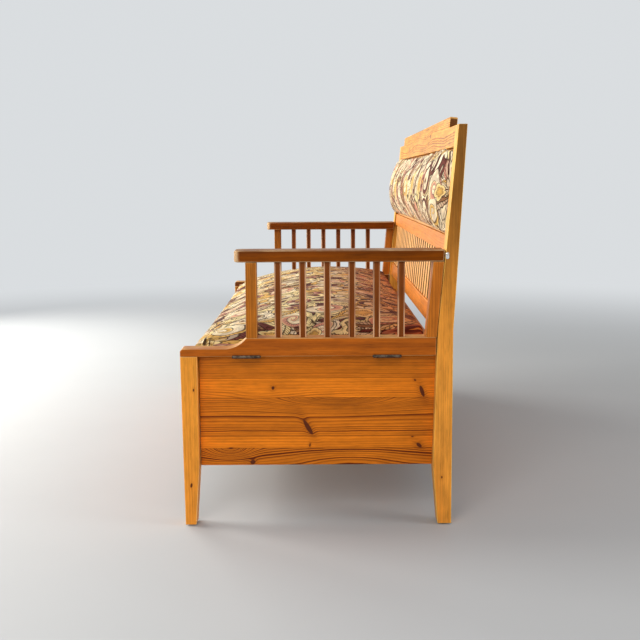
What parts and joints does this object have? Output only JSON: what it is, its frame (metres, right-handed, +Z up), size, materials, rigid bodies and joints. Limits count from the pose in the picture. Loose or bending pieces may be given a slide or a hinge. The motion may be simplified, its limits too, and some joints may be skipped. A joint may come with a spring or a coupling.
{
  "type": "pull out bench bed",
  "caption": "Pine bench whose slatted seat front slides out to make a wide bed, with folding spindle arms, a leaning padded back and a loose seat cushion.",
  "frame": {"origin": "on the floor under the middle of the bench", "axes": "+X to the right seen from the front, -Y towards the front, +Z up"},
  "size_m": [1.7468, 0.686, 0.9969],
  "materials": {
    "pine_leg": "satin varnish",
    "pine_panel": "satin varnish",
    "pine_arm": "satin varnish, worn on the arm boards",
    "pine_back": "satin varnish",
    "pine_inner": "planed, unfinished",
    "seat_tapestry": "woven tapestry",
    "back_tapestry": "woven tapestry",
    "hinge_iron": "aged, dark",
    "catch_steel": "bright plated",
    "glide_steel": "worn"
  },
  "bodies": {
    "frame": {"rear_post_left": "pine_leg", "rear_post_right": "pine_leg", "rear_glide_left": "glide_steel", "rear_glide_right": "glide_steel", "end_panel_left": "pine_panel", "end_panel_right": "pine_panel", "upper_cleat_left": "pine_inner", "upper_cleat_right": "pine_inner", "lower_cleat_left": "pine_inner", "lower_cleat_right": "pine_inner", "rear_board": "pine_panel", "rear_ledger": "pine_inner", "fixed_front_bearer": "pine_inner", "fixed_slats": "pine_inner", "back_lower_rail": "pine_back", "back_slats": "pine_back", "back_middle_rail": "pine_back", "back_cushion_board": "pine_inner", "crest_rail": "pine_back", "seat_cushion": "seat_tapestry", "back_cushion": "back_tapestry", "hinge_lower_leaf_front_left": "hinge_iron", "hinge_lower_leaf_front_right": "hinge_iron", "hinge_lower_leaf_rear_left": "hinge_iron", "hinge_lower_leaf_rear_right": "hinge_iron", "hinge_pin_front_left": "hinge_iron", "hinge_pin_front_right": "hinge_iron", "hinge_pin_rear_left": "hinge_iron", "hinge_pin_rear_right": "hinge_iron", "turn_button_screw_left": "catch_steel", "turn_button_screw_right": "catch_steel"},
    "pull_out": {"front_leg_left": "pine_leg", "front_leg_right": "pine_leg", "front_glide_left": "glide_steel", "front_glide_right": "glide_steel", "front_board": "pine_panel", "front_ledger": "pine_inner", "runner_left": "pine_inner", "runner_right": "pine_inner", "moving_rear_bearer": "pine_inner", "moving_slats": "pine_inner"},
    "arm_left": {"end_rail_left": "pine_arm", "front_stile_left": "pine_arm", "rear_stile_left": "pine_arm", "arm_spindles_left": "pine_arm", "arm_board_left": "pine_arm", "hinge_upper_leaf_front_left": "hinge_iron", "hinge_upper_leaf_rear_left": "hinge_iron"},
    "turn_button_left": {"turn_button_left": "catch_steel"},
    "arm_right": {"end_rail_right": "pine_arm", "front_stile_right": "pine_arm", "rear_stile_right": "pine_arm", "arm_spindles_right": "pine_arm", "arm_board_right": "pine_arm", "hinge_upper_leaf_front_right": "hinge_iron", "hinge_upper_leaf_rear_right": "hinge_iron"},
    "turn_button_right": {"turn_button_right": "catch_steel"}
  },
  "joints": [
    {"name": "seat_pull_out", "type": "slide", "parent": "frame", "child": "pull_out", "axis": [0, -1, 0], "range_m": [0, 0.44]},
    {"name": "arm_fold_right", "type": "hinge", "parent": "frame", "child": "arm_right", "pos_m": [0.8694, 0, 0.4214], "axis": [0, 1, 0], "range_deg": [0, 180]},
    {"name": "arm_fold_left", "type": "hinge", "parent": "frame", "child": "arm_left", "pos_m": [-0.8694, 0, 0.4214], "axis": [0, -1, 0], "range_deg": [0, 180]},
    {"name": "turn_button_turn_right", "type": "hinge", "parent": "frame", "child": "turn_button_right", "pos_m": [0.8664, 0.29767, 0.666], "axis": [-1, 0, 0], "range_deg": [0, 90]},
    {"name": "turn_button_turn_left", "type": "hinge", "parent": "frame", "child": "turn_button_left", "pos_m": [-0.8664, 0.29767, 0.666], "axis": [-1, 0, 0], "range_deg": [0, 90]}
  ]
}
